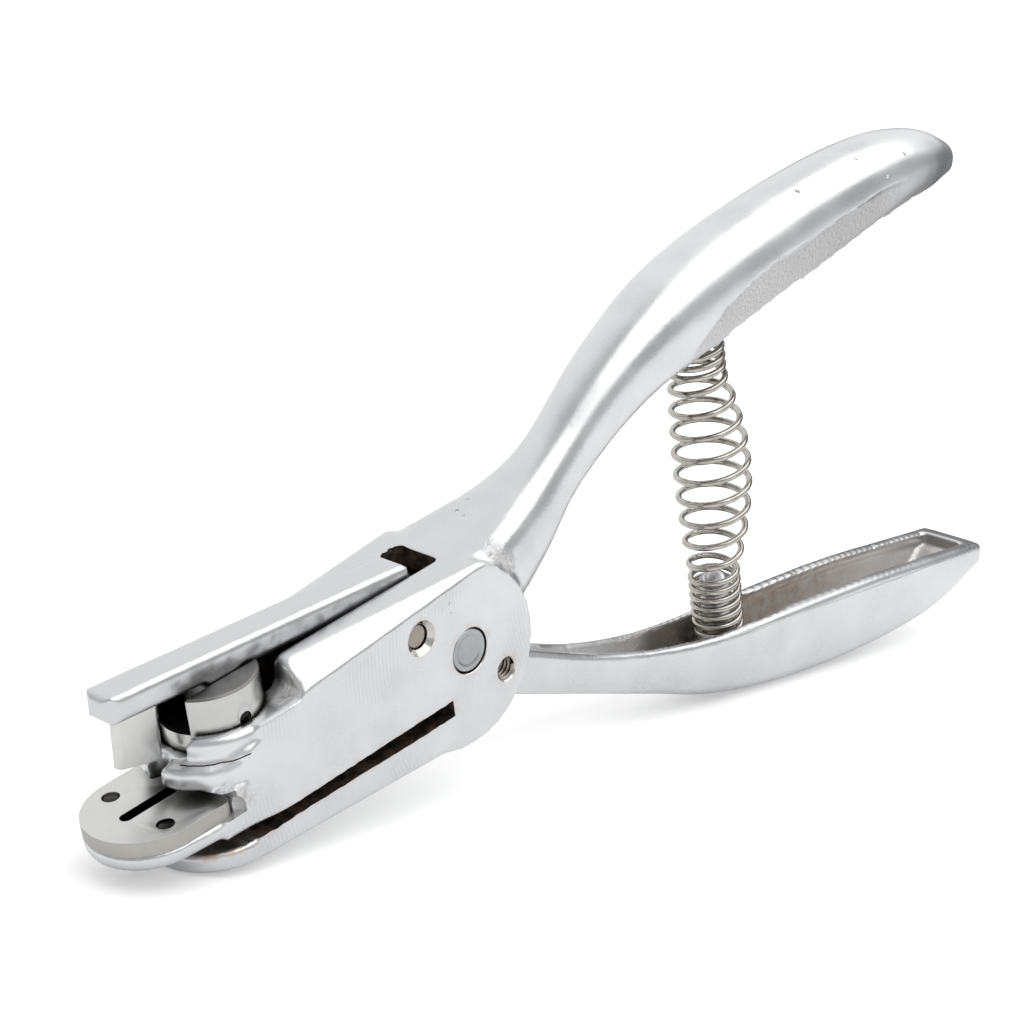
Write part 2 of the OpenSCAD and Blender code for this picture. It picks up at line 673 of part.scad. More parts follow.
// Share of the open coils that lies below a turn
function opening(t) = min(max((t - coils_low) / coils_mid, 0), 1);
function coil_r(t) =
    let (u = opening(t), mean = spring_r_low + (spring_r_high - spring_r_low) * u)
    mean + (spring_r_mid - (spring_r_low + spring_r_high) / 2) * sin(180 * u);
function coil_point(t) =
    let (bow = spring_bow * sin(180 * opening(t)))
    [spring_behind + bow + coil_r(t) * cos(360 * t), coil_r(t) * sin(360 * t), coil_z(t)];
wire_line = [for (k = [0:coils * coil_rings]) coil_point(k / coil_rings)];
// Straight ends, one wire diameter long
wire_first = wire_line[0] - wire_d * (wire_line[1] - wire_line[0]) / norm(wire_line[1] - wire_line[0]);
wire_count = len(wire_line);
wire_end = wire_line[wire_count - 1] - wire_line[wire_count - 2];
wire_last = wire_line[wire_count - 1] + wire_d * wire_end / norm(wire_end);
wire = concat([wire_first], wire_line, [wire_last]);
function unit(v) = v / norm(v);
function wire_ring(i) =
    let (along = unit(wire[min(i + 1, len(wire) - 1)] - wire[max(i - 1, 0)]),
         side = unit(cross([0, 0, 1], along)), up = cross(along, side))
    [for (k = [0:coil_sides - 1])
        let (a = 360 * k / coil_sides) wire[i] + wire_d / 2 * (cos(a) * side + sin(a) * up)];
// Least gap of the wire to itself, between points half a turn or more apart
wire_gap = min([for (i = [0:len(wire) - 1], j = [i + coil_rings / 2:min(i + 3 * coil_rings, len(wire) - 1)])
    norm(wire[i] - wire[j])]) - wire_d;

module return_spring() {
    color([0.75, 0.74, 0.71]) stand() loft([for (i = [0:len(wire) - 1]) wire_ring(i)]);
}

echo(least_gap_of_spring_wire = wire_gap);
echo(stand_tilt = stand_tilt, pivot_at = [-middle_x, 0, -ground]);

frame_casting();
lever_casting();
pivot_rivet();
stop_pin();
die_plate();
die_pin_near();
die_pin_far();
guide_plunger();
plunger_cross_pin();
slot_blade();
return_spring();
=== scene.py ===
# Hole punch pliers: the looks of the tool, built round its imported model.
import json
import math

import bmesh
import bpy
import numpy as np
from mathutils import Matrix, Vector, noise
from mathutils.bvhtree import BVHTree


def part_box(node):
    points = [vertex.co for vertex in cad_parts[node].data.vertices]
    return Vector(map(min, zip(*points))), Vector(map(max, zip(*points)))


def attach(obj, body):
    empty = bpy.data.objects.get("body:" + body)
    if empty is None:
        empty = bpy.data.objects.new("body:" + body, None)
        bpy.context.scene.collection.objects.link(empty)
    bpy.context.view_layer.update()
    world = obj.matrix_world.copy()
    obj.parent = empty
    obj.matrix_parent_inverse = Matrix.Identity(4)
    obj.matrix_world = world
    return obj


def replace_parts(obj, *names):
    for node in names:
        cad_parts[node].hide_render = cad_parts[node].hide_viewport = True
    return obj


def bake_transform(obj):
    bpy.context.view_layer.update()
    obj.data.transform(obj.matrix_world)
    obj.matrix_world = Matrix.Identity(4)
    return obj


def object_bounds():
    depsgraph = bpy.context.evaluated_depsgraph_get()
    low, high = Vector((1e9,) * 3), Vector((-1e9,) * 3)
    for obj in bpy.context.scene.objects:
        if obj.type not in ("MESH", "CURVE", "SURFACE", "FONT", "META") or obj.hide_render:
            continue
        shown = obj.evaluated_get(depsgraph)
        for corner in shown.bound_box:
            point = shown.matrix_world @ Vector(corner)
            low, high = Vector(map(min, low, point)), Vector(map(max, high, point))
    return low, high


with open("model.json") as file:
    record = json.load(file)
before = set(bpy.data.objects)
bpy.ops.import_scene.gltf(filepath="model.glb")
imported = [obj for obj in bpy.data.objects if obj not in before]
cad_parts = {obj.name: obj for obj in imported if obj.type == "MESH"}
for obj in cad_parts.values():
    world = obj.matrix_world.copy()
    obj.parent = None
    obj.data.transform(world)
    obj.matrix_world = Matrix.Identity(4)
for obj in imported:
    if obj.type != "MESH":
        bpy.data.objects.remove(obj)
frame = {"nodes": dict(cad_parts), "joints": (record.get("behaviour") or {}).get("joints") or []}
cad_box = [list(corner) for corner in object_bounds()]

# Places: everything is modelled in millimetres with the pivot at the origin and
# the die plate level, and is then stood up in the tool's own place.
MM = 0.001
joints = {joint["name"]: joint for joint in frame["joints"]}
pivot = Vector(joints["lever_pivot"]["pos_m"])
slide = joints["plunger_slide"]["axis"]
TILT = math.atan2(slide[0], -slide[2])
STAND = Matrix.Translation(pivot) @ Matrix.Rotation(-TILT, 4, "Y") @ Matrix.Scale(MM, 4)
TO_JAW = STAND.inverted()


def jaw_centre(node_name):
    """The middle of a CAD node, in jaw millimetres."""
    low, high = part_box(node_name)
    return TO_JAW @ ((low + high) / 2)


RIVET = jaw_centre("pivot_rivet")
STOP = jaw_centre("stop_pin")
TAP = Vector((5.3, 0, -5.1))
RIVET_R, STOP_R, TAP_R = 2.6, 1.4, 1.38
HALF_W = 7.8
CHEEK_TOP, CHEEK_FRONT = 9.8, -24.3
SLOT_HALF, WINDOW_REAR = 2.6, 1.5
SLIT_ROOF, SLIT_FLOOR, SLIT_END, LIP_NOSE = -4.9, -6.4, -3.6, -42
SLIT_MIDDLE = (SLIT_ROOF + SLIT_FLOOR) / 2
BORE_X, BORE_R, BORE_FLOOR = -31.2, 5.85, -3.65
PLUNGER_FLOOR = 6.2
DIE_REAR, DIE_TAIL = -37.5, 1.7
DIE_SEAT, LEDGE_LOW = -2.25, 0.8
LIP_SAWN, SLOT_FRONT = -33, -47
BAR_TILT, BAR_HALF, BAR_LOW = math.radians(5.5), 2.4, 7.3

# Middle line of the upper handle: x, z, half width, half height
UPPER = np.array([[16, 7.3, 5.4, 5], [24, 11.6, 4.1, 3.9], [29.6, 15, 4.4, 4.2], [36, 18.4, 5, 4.8],
                  [42.5, 20.7, 5.6, 5.7], [50, 22.4, 6.1, 6.4], [59.8, 23.8, 6.2, 6.5],
                  [70, 24.9, 6.1, 6.3], [79, 25.6, 5.9, 5.9], [87, 25.8, 5.7, 5.4],
                  [92.7, 25.5, 5.4, 4.8], [97, 25, 5, 4.2], [102.6, 23.6, 3.5, 2.6]])
# Rim of the lower handle: x, z, half width, depth
LOWER = np.array([[9, -6, 3.1, 6.8], [15, -9.3, 3.1, 6.6], [25, -14.7, 3.2, 6.3], [36, -19.2, 3.9, 7.4],
                  [47, -22.3, 4.8, 9.8], [62, -25.1, 5.2, 12], [79, -28.5, 5.4, 12.2],
                  [94, -32.3, 5.3, 9.6], [103.9, -34.9, 5.1, 4.4]])
RIM_SHARE = 0.35
FRAME_VOXEL, LEVER_VOXEL = 0.37, 0.31


# Mesh work
def cad_copy(node_name):
    """A CAD node in jaw millimetres, with its loose triangles joined."""
    bm = bmesh.new()
    bm.from_mesh(frame["nodes"][node_name].data)
    bm.transform(TO_JAW)
    bmesh.ops.remove_doubles(bm, verts=bm.verts, dist=1e-4)
    return bm


def as_object(name, bm, materials=()):
    """An object in the scene that holds a bmesh."""
    mesh = bpy.data.meshes.new(name)
    bm.to_mesh(mesh)
    bm.free()
    for material in materials:
        mesh.materials.append(material)
    obj = bpy.data.objects.new(name, mesh)
    bpy.context.scene.collection.objects.link(obj)
    return obj


def bake(obj):
    """Makes an object's modifiers part of its mesh."""
    graph = bpy.context.evaluated_depsgraph_get()
    mesh = bpy.data.meshes.new_from_object(obj.evaluated_get(graph))
    obj.modifiers.clear()
    obj.data = mesh
    return obj


def cut(obj, bm, finish=None):
    """Takes a solid out of a casting and leaves cut steel, or another finish, on the new faces. Cut steel
    is rust under dark painted shade, and its chamfers are bright.
    """
    tool = as_object("tool", bm, finish or (cut_rust_and_shade, bright_cut))
    saw = obj.modifiers.new("saw", "BOOLEAN")
    saw.object, saw.operation, saw.solver = tool, "DIFFERENCE", "MANIFOLD"
    saw.material_mode = "TRANSFER"
    bake(obj)
    bpy.data.objects.remove(tool)


def turned(profile, place, steps=64):
    """A closed solid turned from (radius, height) pairs, with its Z axis at a place.
    Its cones are marked as bright cuts."""
    bm = bmesh.new()
    verts = [bm.verts.new((r, 0, h)) for r, h in profile]
    edges = [bm.edges.new(pair) for pair in zip(verts, verts[1:])]
    bmesh.ops.spin(bm, geom=verts + edges, cent=(0, 0, 0), axis=(0, 0, 1),
                   angle=2 * math.pi, steps=steps, use_merge=True)
    bmesh.ops.remove_doubles(bm, verts=bm.verts, dist=1e-4)
    bmesh.ops.recalc_face_normals(bm, faces=bm.faces)
    for face in bm.faces:
        face.material_index = int(0.2 < abs(face.normal.z) < 0.95)
    bm.transform(place)
    return bm


def block(low, high, bm=None):
    """A box between two corners, in a bmesh of its own or in one that is given."""
    bm = bm or bmesh.new()
    low, high = Vector(low), Vector(high)
    bmesh.ops.create_cube(bm, size=1, matrix=Matrix.Translation((low + high) / 2)
                          @ Matrix.Diagonal((*(high - low), 1)))
    return bm


def tube(points, radius, sides=3):
    """A round wire along some points."""
    line = bpy.data.curves.new("line", "CURVE")
    line.dimensions, line.bevel_depth, line.bevel_resolution = "3D", radius, sides
    line.use_fill_caps = True
    path = line.splines.new("POLY")
    path.points.add(len(points) - 1)
    for knot, point in zip(path.points, points):
        knot.co = (*point, 1)
    drawn = bpy.data.objects.new("line", line)
    bpy.context.scene.collection.objects.link(drawn)
    graph = bpy.context.evaluated_depsgraph_get()
    mesh = bpy.data.meshes.new_from_object(drawn.evaluated_get(graph))
    bpy.data.objects.remove(drawn)
    bm = bmesh.new()
    bm.from_mesh(mesh)
    bmesh.ops.remove_doubles(bm, verts=bm.verts, dist=1e-4)
    bmesh.ops.recalc_face_normals(bm, faces=bm.faces)
    return bm


def on_skin(obj, starts, aims):
    """Where rays from some starts, each with its aim, meet an object."""
    bm = bmesh.new()
    bm.from_mesh(obj.data)
    skin = BVHTree.FromBMesh(bm)
    bm.free()
    hits = [skin.ray_cast(Vector(start), Vector(aim))[0] for start, aim in zip(starts, aims)]
    return [hit for hit in hits if hit]


def across(x, z, y=0):
    """Place at a point of the mid-plane, or y off it, whose Z axis points at the near side."""
    return Matrix.Translation((x, y, z)) @ Matrix.Rotation(math.pi / 2, 4, "X")


def ramp(value, start, end):
    """0 before start, 1 after end and smooth between them."""
    t = np.clip((value - start) / (end - start), 0, 1)
    return t * t * (3 - 2 * t)


def mottle(points, size, seed):
    """Smooth noise from -1 to 1 at each point, with spots of about that size."""
    shift = Vector((seed * 7.1, seed * 3.7, seed * 5.3))
    return np.array([noise.noise(Vector(p) / size + shift) for p in points])


def points_of(mesh, what="co"):
    """A mesh's points, or its normals, as rows."""
    rows = np.zeros(len(mesh.vertices) * 3, np.float32)
    if what == "co":
        mesh.vertices.foreach_get("co", rows)
    else:
        mesh.vertex_normals.foreach_get("vector", rows)
    return rows.reshape(-1, 3).astype(float)


def move_to(mesh, points):
    """Puts a mesh's points in new places."""
    mesh.vertices.foreach_set("co", points.astype(np.float32).ravel())
    mesh.update()


def push(mesh, amount):
    """Moves a mesh's points out along their normals, each by its own amount."""
    move_to(mesh, points_of(mesh) + points_of(mesh, "normal") * amount[:, None])


def spread(mesh, values, rounds):
    """Evens out the number of each point with its neighbours' numbers."""
    pairs = np.zeros(len(mesh.edges) * 2, np.int32)
    mesh.edges.foreach_get("vertices", pairs)
    here, there = np.concatenate([pairs.reshape(-1, 2), pairs.reshape(-1, 2)[:, ::-1]]).T
    count = np.maximum(np.bincount(here, minlength=len(values)), 1)
    for _ in range(rounds):
        values = (values + np.bincount(here, values[there], len(values)) / count) / 2
    return values


# Directions spread evenly over a ball, in which each point looks round itself
HEIGHTS = np.linspace(-0.92, 0.92, 12)
GOLDEN_TURN = 2.4
LOOKS = [Vector((math.sqrt(1 - h * h) * math.cos(GOLDEN_TURN * k),
                 math.sqrt(1 - h * h) * math.sin(GOLDEN_TURN * k), h)) for k, h in enumerate(HEIGHTS)]


def shelter(mesh, behind, reach=7):
    """Share of each point's outlook that steel close by hides, ahead of a place along the tool. Painted
    shade darkens the steel where it is high."""
    verts, faces = [], []
    for solid in frame["nodes"].values():
        first = len(verts)
        verts += [TO_JAW @ v.co for v in solid.data.vertices]
        faces += [[first + i for i in p.vertices] for p in solid.data.polygons]
    solids = BVHTree.FromPolygons(verts, faces)
    share = np.zeros(len(mesh.vertices))
    for k, (point, normal) in enumerate(zip(points_of(mesh), points_of(mesh, "normal"))):
        if point[0] < behind:
            out = Vector(normal)
            start = Vector(point) + 0.6 * out
            looks = [look if look.dot(out) > 0 else -look for look in LOOKS]
            hidden = [solids.ray_cast(start, look, reach)[0] is not None for look in looks]
            share[k] = sum(hidden) / len(looks)
    return spread(mesh, share, 3)


def paint(mesh, name, values):
    """Keeps a number for each point of a mesh."""
    layer = mesh.attributes.new(name, "FLOAT", "POINT")
    layer.data.foreach_set("value", values.astype(np.float32))


def soft_skin(name, bm, voxel, rounds, calm):
    """A solid in an even mesh whose edges are as soft as a polished casting's. Where calm,
    a share for each point, is high, the skin is eased many more times."""
    obj = as_object(name, bm, (casting, cut_rust_and_shade, bright_cut))
    skin = obj.modifiers.new("skin", "REMESH")
    skin.mode, skin.voxel_size = "VOXEL", voxel
    ease = obj.modifiers.new("ease", "SMOOTH")
    ease.factor, ease.iterations = 0.5, rounds
    bake(obj)
    group = obj.vertex_groups.new(name="calm")
    for index, share in enumerate(calm(points_of(obj.data))):
        group.add([index], share, "REPLACE")
    flow = obj.modifiers.new("flow", "SMOOTH")
    flow.factor, flow.iterations, flow.vertex_group = 0.5, 30, "calm"
    return bake(obj)


def stand_up(obj, body, crease=40):
    """Stands a finished piece up on its body, with smooth faces and sharp creases."""
    obj.data.transform(STAND)
    obj.data.shade_smooth()
    obj.data.set_sharp_from_angle(angle=math.radians(crease))
    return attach(obj, body)


# Materials
def linear(code):
    """An sRGB hex colour as linear RGBA."""
    parts = [int(code[i:i + 2], 16) / 255 for i in (1, 3, 5)]
    return [c / 12.92 if c <= 0.04045 else ((c + 0.055) / 1.055) ** 2.4 for c in parts] + [1]


def node(tree, kind, inputs=None, out=0, **settings):
    """Adds a node, sets it up, links or fills its inputs and gives back one output."""
    made = tree.nodes.new(kind)
    for name, value in settings.items():
        setattr(made, name, value)
    for name, value in (inputs or {}).items():
        socket = made.inputs[name]
        if isinstance(value, bpy.types.NodeSocket):
            tree.links.new(value, socket)
        else:
            socket.default_value = value
    return made.outputs[out] if made.outputs else made


def fresh(name):
    """A new metal: its material, its node tree and its jaw millimetre coordinates."""
    material = bpy.data.materials.new(name)
    material.use_nodes = True
    tree = material.node_tree
    tree.nodes.clear()
    place = node(tree, "ShaderNodeTexCoord", out="Object")
    jaw = node(tree, "ShaderNodeMapping", {
        "Vector": place, "Location": TO_JAW.translation, "Rotation": TO_JAW.to_euler(),
        "Scale": (1 / MM, 1 / MM, 1 / MM)})
    return material, tree, jaw


def finish_metal(tree, colour, roughness, height=None, metallic=1):
    """Ends a metal's tree in its shader, with heights in millimetres."""
    inputs = {"Base Color": colour, "Roughness": roughness, "Metallic": metallic}
    if height:
        inputs["Normal"] = node(tree, "ShaderNodeBump", {"Height": height, "Distance": MM, "Strength": 1})
    node(tree, "ShaderNodeOutputMaterial", {"Surface": node(tree, "ShaderNodeBsdfPrincipled", inputs)})


# Shares of a casting's skin that are painted on its points
SHARES = ("ground", "rough", "rust", "hollow", "milled", "brushed", "shade_and_grime")


def satin_cast_steel():
    """Cast steel, polished satin: pale silver with broad soft highlights and cast grain. Raw skin
    glitters, linished flats are dull and hollows are brown; sheltered corners and the raw skin spots are
    darkened with painted shade, with a little dirt."""
    material, tree, jaw = fresh("satin_cast_steel")
    share = {name: node(tree, "ShaderNodeAttribute", out="Fac", attribute_name=name) for name in SHARES}

    # Tone drifts over 8 mm, grain is 0.45 mm and blotches are 1.6 mm
    drift = node(tree, "ShaderNodeTexNoise", {"Vector": jaw, "Scale": 1 / 8, "Detail": 4})
    drift = node(tree, "ShaderNodeMapRange", {"Value": drift, "From Min": 0.35, "From Max": 0.65})
    grain = node(tree, "ShaderNodeTexNoise", {"Vector": jaw, "Scale": 1 / 0.45, "Detail": 3})
    blotch = node(tree, "ShaderNodeTexNoise", {"Vector": jaw, "Scale": 1 / 1.6, "Detail": 4})
    blotch = node(tree, "ShaderNodeMapRange", {"Value": blotch, "From Min": 0.4, "From Max": 0.65})
    # Chatter of the mill on the cheeks, in arcs 0.55 mm apart
    arcs = node(tree, "ShaderNodeVectorMath", {0: jaw, 1: (26, 0, 1)}, operation="SUBTRACT")
    arcs = node(tree, "ShaderNodeTexWave", {"Vector": arcs, "Scale": math.pi / 10 / 0.55,
                                            "Distortion": 0.8, "Detail": 1}, "Fac",
                wave_type="RINGS", rings_direction="Y")
    arcs = node(tree, "ShaderNodeMath", {0: arcs, 1: share["milled"]}, operation="MULTIPLY")
    # Brushing along the bar, in lines 0.2 mm wide and 9 mm long
    lines = node(tree, "ShaderNodeMapping", {"Vector": jaw, "Scale": (1 / 9, 1 / 0.2, 1 / 0.8)})
    lines = node(tree, "ShaderNodeTexNoise", {"Vector": lines, "Scale": 1, "Detail": 2})
    lines = node(tree, "ShaderNodeMath", {0: lines, 1: share["brushed"]}, operation="MULTIPLY")

    share["rust"] = node(tree, "ShaderNodeMath", {0: share["rust"], 1: blotch}, operation="MULTIPLY")
    share["arcs"] = node(tree, "ShaderNodeMath", {0: arcs, 1: 0.3}, operation="MULTIPLY")
    colour = node(tree, "ShaderNodeMix", {0: drift, 6: linear("#CFD0D2"), 7: linear("#DADBDD")}, 2,
                  data_type="RGBA")
    # The last, near-black tint is painted shade in sheltered corners, mottled like dirt on the raw skin
    # spots
    for name, tint in (("arcs", "#B9BABC"), ("ground", "#CBCBCC"), ("rough", "#D2D2D2"),
                       ("brushed", "#CDCED0"), ("hollow", "#D8D6D4"), ("rust", "#B59A80"),
                       ("shade_and_grime", "#3B3835")):
        colour = node(tree, "ShaderNodeMix", {0: share[name], 6: colour, 7: linear(tint)}, 2,
                      data_type="RGBA")

    dull = node(tree, "ShaderNodeMapRange", {"Value": drift, "To Min": 0.25, "To Max": 0.33})
    for name, more in (("ground", 0.16), ("rough", 0.06), ("hollow", 0.12), ("rust", 0.15),
                       ("shade_and_grime", 0.2)):
        dull = node(tree, "ShaderNodeMath", {0: share[name], 1: more, 2: dull}, operation="MULTIPLY_ADD")

    # Heights in millimetres: grain 0.014, deeper where the skin is rough, arcs 0.012 and lines 0.02
    deep = 0.014
    for name, more in (("ground", 0.07), ("rough", 0.16), ("hollow", 0.05)):
        deep = node(tree, "ShaderNodeMath", {0: share[name], 1: more, 2: deep}, operation="MULTIPLY_ADD")
    height = node(tree, "ShaderNodeMath", {0: grain, 1: deep}, operation="MULTIPLY")
    height = node(tree, "ShaderNodeMath", {0: arcs, 1: 0.012, 2: height}, operation="MULTIPLY_ADD")
    height = node(tree, "ShaderNodeMath", {0: lines, 1: 0.02, 2: height}, operation="MULTIPLY_ADD")
    bare = node(tree, "ShaderNodeMath", {0: share["rough"], 1: -0.55, 2: 1}, operation="MULTIPLY_ADD")
    finish_metal(tree, colour, dull, height, bare)
    return material


def ground_steel(name, light, dark, roughness):
    """Tool steel off the grinder: an even satin grey with faint lines along the grind."""
    material, tree, jaw = fresh(name)
    # Grinding lines 0.25 mm apart and many times as long, and clouds of tone 3 mm wide
    lines = node(tree, "ShaderNodeMapping", {"Vector": jaw, "Scale": (1 / 6, 1 / 0.25, 1 / 0.6)})
    lines = node(tree, "ShaderNodeTexNoise", {"Vector": lines, "Scale": 1, "Detail": 3})
    cloud = node(tree, "ShaderNodeTexNoise", {"Vector": jaw, "Scale": 1 / 3, "Detail": 3})
    colour = node(tree, "ShaderNodeMix", {0: cloud, 6: linear(dark), 7: linear(light)}, 2,
                  data_type="RGBA")
    dull = node(tree, "ShaderNodeMapRange", {"Value": cloud, "From Min": 0.3, "From Max": 0.7,
                                             "To Min": roughness - 0.05, "To Max": roughness + 0.05})
    height = node(tree, "ShaderNodeMath", {0: lines, 1: 0.012}, operation="MULTIPLY")
    finish_metal(tree, colour, dull, height)
    return material


def rust_and_shade_cut():
    """Steel that was sawn or drilled and left bare, with a brown bloom of rust; its near-black tone is
    painted shade for the slits, cracks and holes it lines.
    """
    material, tree, jaw = fresh("cut_steel_rust_and_painted_shade")
    # Bloom in spots of 1.2 mm and grit of 0.3 mm
    bloom = node(tree, "ShaderNodeTexNoise", {"Vector": jaw, "Scale": 1 / 1.2, "Detail": 4})
    grit = node(tree, "ShaderNodeTexNoise", {"Vector": jaw, "Scale": 1 / 0.3, "Detail": 2})
    share = node(tree, "ShaderNodeMapRange", {"Value": bloom, "From Min": 0.42, "From Max": 0.66})
    colour = node(tree, "ShaderNodeMix", {0: share, 6: linear("#231F1D"), 7: linear("#5C4A3E")}, 2,
                  data_type="RGBA")
    height = node(tree, "ShaderNodeMath", {0: grit, 1: 0.05}, operation="MULTIPLY")
    finish_metal(tree, colour, 0.55, height, 0.5)
    return material


def nickelled_wire():
    """Music wire with bright nickel on it: mirror glints, a warm cast and a faint drawn streak."""
    material, tree, jaw = fresh("nickelled_spring_wire")
    streak = node(tree, "ShaderNodeTexNoise", {"Vector": jaw, "Scale": 1 / 1.5, "Detail": 2})
    colour = node(tree, "ShaderNodeMix", {0: streak, 6: linear("#918C86"), 7: linear("#D2CEC9")}, 2,
                  data_type="RGBA")
    dull = node(tree, "ShaderNodeMapRange", {"Value": streak, "From Min": 0.3, "From Max": 0.7,
                                             "To Min": 0.05, "To Max": 0.11})
    finish_metal(tree, colour, dull)
    return material


casting = satin_cast_steel()
# Cut steel: brown rust under dark painted shade, for slots, slits, cracks and holes
cut_rust_and_shade = rust_and_shade_cut()
bright_cut = ground_steel("turned_chamfer_steel", "#D8D8D6", "#B4B0AA", 0.2)
raw_lip = ground_steel("sawn_lip_steel", "#C9BEBB", "#9B908D", 0.45)
die_steel = ground_steel("ground_die_steel", "#DCDCDB", "#CBCBC9", 0.42)
die_edge = ground_steel("sawn_die_edge_steel", "#BFBEBA", "#A9A8A3", 0.5)
plunger_steel = ground_steel("turned_plunger_steel", "#CDCDCB", "#B7B7B5", 0.26)
# Painted shade: near black for the insides of the plunger's slot and the die plate's slot and holes
slot_painted_shade = ground_steel("slot_steel_painted_shade", "#1C1B1A", "#121111", 0.5)
# Painted shadow and reflection of the bar, dark grey, on the plunger's top
plunger_top_shadow = ground_steel("plunger_top_painted_shadow", "#8A8988", "#666564", 0.4)
blade_steel = ground_steel("ground_blade_steel", "#DEDEDD", "#C6C6C4", 0.36)
rivet_steel = ground_steel("peened_rivet_steel", "#B9BCBB", "#93969A", 0.34)
pin_steel = ground_steel("drawn_pin_steel", "#B5AEA7", "#857D77", 0.34)
dark_pin = ground_steel("oiled_pin_steel", "#3E3C3A", "#242322", 0.28)
wire_finish = nickelled_wire()


# Castings
def hole_tool(middle, radius, chamfer, half_length):
    """Drill with a countersink at both ends, right through the cheeks."""
    mouth = HALF_W - chamfer
    wide = radius + chamfer + half_length - HALF_W
    return turned([(0, -half_length), (wide, -half_length), (radius, -mouth), (radius, mouth),
                   (wide, half_length), (0, half_length)], across(middle.x, middle.z))


def bore_tool():
    """Drill of the plunger's bore."""
    return turned([(0, 0), (BORE_R, 0), (BORE_R, 20), (0, 20)],
                  Matrix.Translation((BORE_X, 0, BORE_FLOOR)))


def plug(bm, x, z, radius, low, high):
    """Fills a hole across the tool between two distances from its mid-plane."""
    bmesh.ops.create_cone(bm, cap_ends=True, segments=48, radius1=radius, radius2=radius,
                          depth=high - low, matrix=across(x, z, (low + high) / 2))


def saw_blade():
    """The slit's own shape, with the ragged faces that a saw leaves, and wider to the rear."""
    bm = block((LIP_NOSE - 8, -HALF_W - 1, SLIT_FLOOR), (SLIT_END, HALF_W + 1, SLIT_ROOF))
    along = [e for e in bm.edges if abs(e.verts[0].co.x - e.verts[1].co.x) > 1]
    bmesh.ops.subdivide_edges(bm, edges=along, cuts=130)
    for vert in bm.verts:
        ragged = 0.1 + 0.1 * float(ramp(vert.co.x, -26, -34))
        vert.co.z += ragged * noise.noise(Vector((vert.co.x / 0.9, vert.co.y / 3, vert.co.z)))
        rear = float(ramp(vert.co.x, -28, -8))
        vert.co.z += rear * (0.12 if vert.co.z > SLIT_MIDDLE else -0.4)
    bm.normal_update()
    for face in bm.faces:
        face.material_index = int(face.normal.z < -0.5 and face.calc_center_median().x < LIP_SAWN)
    return bm


def window_cutter():
    """The window behind the bar, wider than the slot, with a chipped edge on its far side."""
    bm = block((-1.9, -SLOT_HALF - 0.05, 4), (WINDOW_REAR + 0.2, SLOT_HALF + 0.95, CHEEK_TOP + 3))
    upright = [e for e in bm.edges if abs(e.verts[0].co.z - e.verts[1].co.z) > 1]
    bmesh.ops.bevel(bm, geom=upright, offset=0.8, offset_type="OFFSET", affect="EDGES", segments=4,
                    profile=0.5, material=-1)
    bmesh.ops.subdivide_edges(bm, edges=bm.edges, cuts=24, use_grid_fill=True)
    for vert in bm.verts:
        chip = max(0, noise.noise(vert.co / 0.8))
        edge = max(0, 1 - abs(vert.co.z - CHEEK_TOP) / 0.8) * float(ramp(vert.co.y, 1.5, 2.5))
        vert.co.y += 0.9 * edge * chip
    return bm


def corner_cutter(side):
    """The ball-nosed hollow in the throat's corner, behind the die plate."""
    arc = [(1.5 * math.cos(a), 1.9 * math.sin(a)) for a in np.radians(np.linspace(-18, 84, 12))]
    return turned([(0, arc[0][1])] + arc + [(0, 1.9)], Matrix.Translation((-36.2, side * 8, -1.65)))


# Open pits in the skin: place and radius
PITS = ((69.8, -3.1, 30.4, 0.34), (85.6, -5.5, 27.4, 0.4), (82, -3.2, 30.6, 0.22),
        (90.4, -4.6, 28.7, 0.26), (73.5, -6, 25, 0.36), (74.6, -5.6, 22.4, 0.45),
        (12, 2.3, 11.3, 0.2), (9.8, 1.9, 10.9, 0.26), (9.3, 0.4, 10.9, 0.18),
        (-2.2, -7.8, 7.2, 0.17), (-2.1, -7.8, 6, 0.13))


def pit_cutter():
    """All the open pits."""
    bm = bmesh.new()
    for x, y, z, radius in PITS:
        bmesh.ops.create_icosphere(bm, subdivisions=2, radius=radius,
                                   matrix=Matrix.Translation((x, y, z)))
    return bm


def crack_line(obj, side):
    """The cold shut where the tower's ring stands on its ledge, as points on the skin."""
    turn = np.radians(np.linspace(20, 78, 40))
    wander = mottle(np.stack([turn * 9, turn * 0, turn * 0], 1), 1, 9)
    starts = np.stack([BORE_X - 12 * np.cos(turn), side * 12 * np.sin(turn),
                       3.72 + 0.06 * wander + 0.2 * ramp(turn, 1.1, 1.36)], 1)
    aims = np.stack([np.cos(turn), -side * np.sin(turn), turn * 0], 1)
    return on_skin(obj, starts, aims)


def on_line(line, x):
    """The other columns of a handle's line at each x."""
    return [np.interp(x, line[:, 0], column) for column in line.T[1:]]


# Upper edge of the linished flat along the upper handle: x, z
BAND = np.array([[43.5, 17.5], [47.3, 20], [51.5, 22.3], [56.9, 23.8], [63, 24.6], [71, 25], [77, 25.6],
                 [84, 25.9], [88, 25.6], [95, 24.9], [100, 24.2]])


def ground_band(points):
    """Share of the flank under the upper handle that was linished to a dull flat."""
    x, y, z = points.T
    _, wide, _ = on_line(UPPER, x)
    wander = 0.15 * mottle(np.stack([x, y * 0, z * 0], 1), 6, 1)
    below = np.interp(x, BAND[:, 0], BAND[:, 1]) + wander - z
    along = ramp(x, 43.5, 46) * ramp(x, 93, 82)
    return ramp(below, -0.1, 0.35) * along * ramp(np.abs(y) / wide, 0.6, 0.8)


def upper_hollow(points):
    """Share that lies inside the upper handle's channel."""
    x, y, z = points.T
    middle, wide, tall = on_line(UPPER, x)
    out = (np.abs(y / wide) ** 2.2 + np.clip((z - middle) / tall, 0, None) ** 2.2) ** (1 / 2.2)
    return ramp(out, 0.84, 0.78) * ramp(x, 32, 36) * ramp(x, 101, 99)


